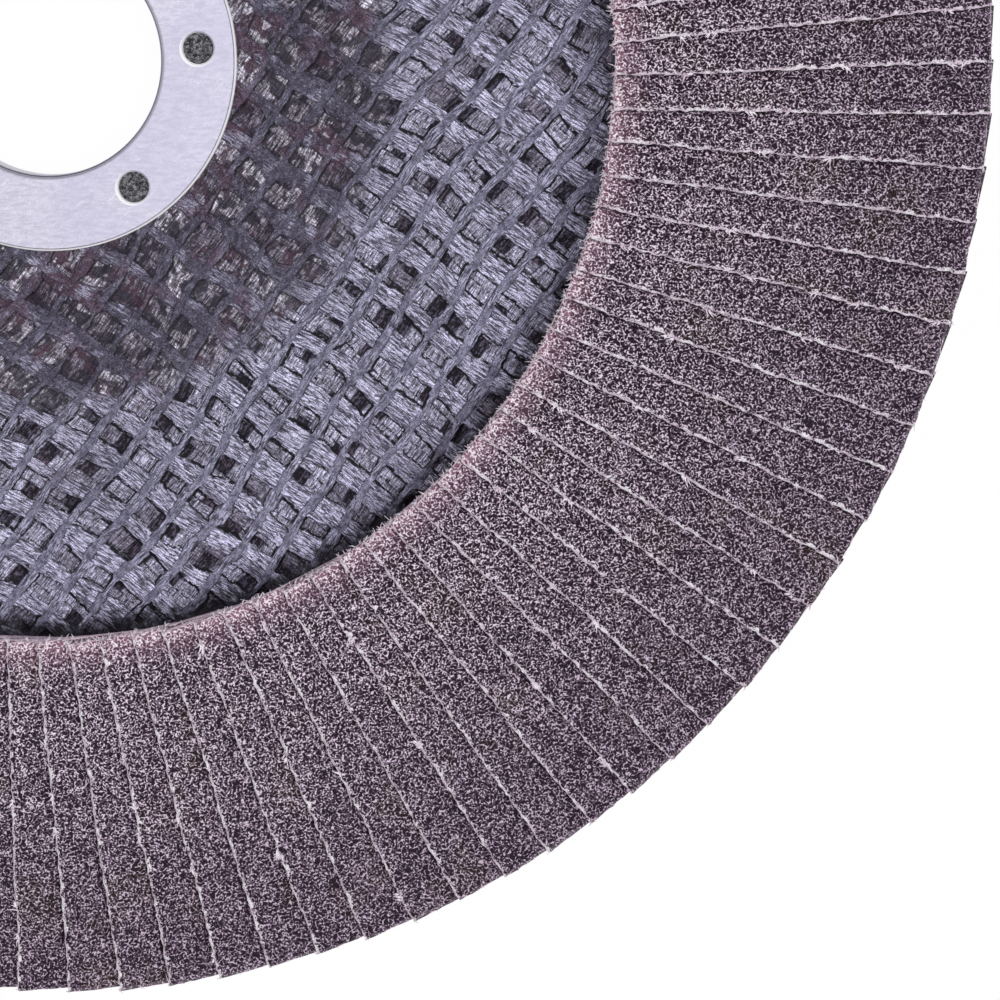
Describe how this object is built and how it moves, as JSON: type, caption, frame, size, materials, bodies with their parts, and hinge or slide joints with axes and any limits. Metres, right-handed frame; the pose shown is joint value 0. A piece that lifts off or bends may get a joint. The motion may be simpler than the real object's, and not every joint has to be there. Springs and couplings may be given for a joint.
{
  "type": "flap disc",
  "caption": "Abrasive flap disc with a depressed centre: overlapping abrasive cloth flaps glued in a ring on a woven glass-laminate backing plate, with a steel centre ring round the arbor bore",
  "frame": {"origin": "on the disc's axis, in the plane of the hub's back face, which it lies on", "axes": "+Z is the disc's axis and points to the abrasive side; X and Y lie in the plane of the disc"},
  "size_m": [0.18, 0.18, 0.0157],
  "materials": {
    "glass_laminate": "resin-soaked woven glass cloth, satin",
    "ring_steel": "zinc-plated sheet steel, faint scratches",
    "adhesive": "cured dark resin",
    "abrasive_cloth": "coarse brown-purple abrasive grain on cloth"
  },
  "bodies": {
    "root": {"backing_plate": "glass_laminate", "centre_ring": "ring_steel", "adhesive_bed": "adhesive", "flap_pair_01": "abrasive_cloth", "flap_pair_02": "abrasive_cloth", "flap_pair_03": "abrasive_cloth", "flap_pair_04": "abrasive_cloth", "flap_pair_05": "abrasive_cloth", "flap_pair_06": "abrasive_cloth", "flap_pair_07": "abrasive_cloth", "flap_pair_08": "abrasive_cloth", "flap_pair_09": "abrasive_cloth", "flap_pair_10": "abrasive_cloth", "flap_pair_11": "abrasive_cloth", "flap_pair_12": "abrasive_cloth", "flap_pair_13": "abrasive_cloth", "flap_pair_14": "abrasive_cloth", "flap_pair_15": "abrasive_cloth", "flap_pair_16": "abrasive_cloth", "flap_pair_17": "abrasive_cloth", "flap_pair_18": "abrasive_cloth", "flap_pair_19": "abrasive_cloth", "flap_pair_20": "abrasive_cloth", "flap_pair_21": "abrasive_cloth", "flap_pair_22": "abrasive_cloth", "flap_pair_23": "abrasive_cloth", "flap_pair_24": "abrasive_cloth", "flap_pair_25": "abrasive_cloth", "flap_pair_26": "abrasive_cloth", "flap_pair_27": "abrasive_cloth", "flap_pair_28": "abrasive_cloth", "flap_pair_29": "abrasive_cloth", "flap_pair_30": "abrasive_cloth", "flap_pair_31": "abrasive_cloth", "flap_pair_32": "abrasive_cloth", "flap_pair_33": "abrasive_cloth", "flap_pair_34": "abrasive_cloth", "flap_pair_35": "abrasive_cloth", "flap_pair_36": "abrasive_cloth", "flap_pair_37": "abrasive_cloth", "flap_pair_38": "abrasive_cloth", "flap_pair_39": "abrasive_cloth", "flap_pair_40": "abrasive_cloth", "flap_pair_41": "abrasive_cloth", "flap_pair_42": "abrasive_cloth", "flap_pair_43": "abrasive_cloth", "flap_pair_44": "abrasive_cloth", "flap_pair_45": "abrasive_cloth", "flap_pair_46": "abrasive_cloth", "flap_pair_47": "abrasive_cloth", "flap_pair_48": "abrasive_cloth", "flap_pair_49": "abrasive_cloth", "flap_pair_50": "abrasive_cloth", "flap_pair_51": "abrasive_cloth", "flap_pair_52": "abrasive_cloth", "flap_pair_53": "abrasive_cloth", "flap_pair_54": "abrasive_cloth", "flap_pair_55": "abrasive_cloth", "flap_pair_56": "abrasive_cloth", "flap_pair_57": "abrasive_cloth"}
  },
  "joints": []
}
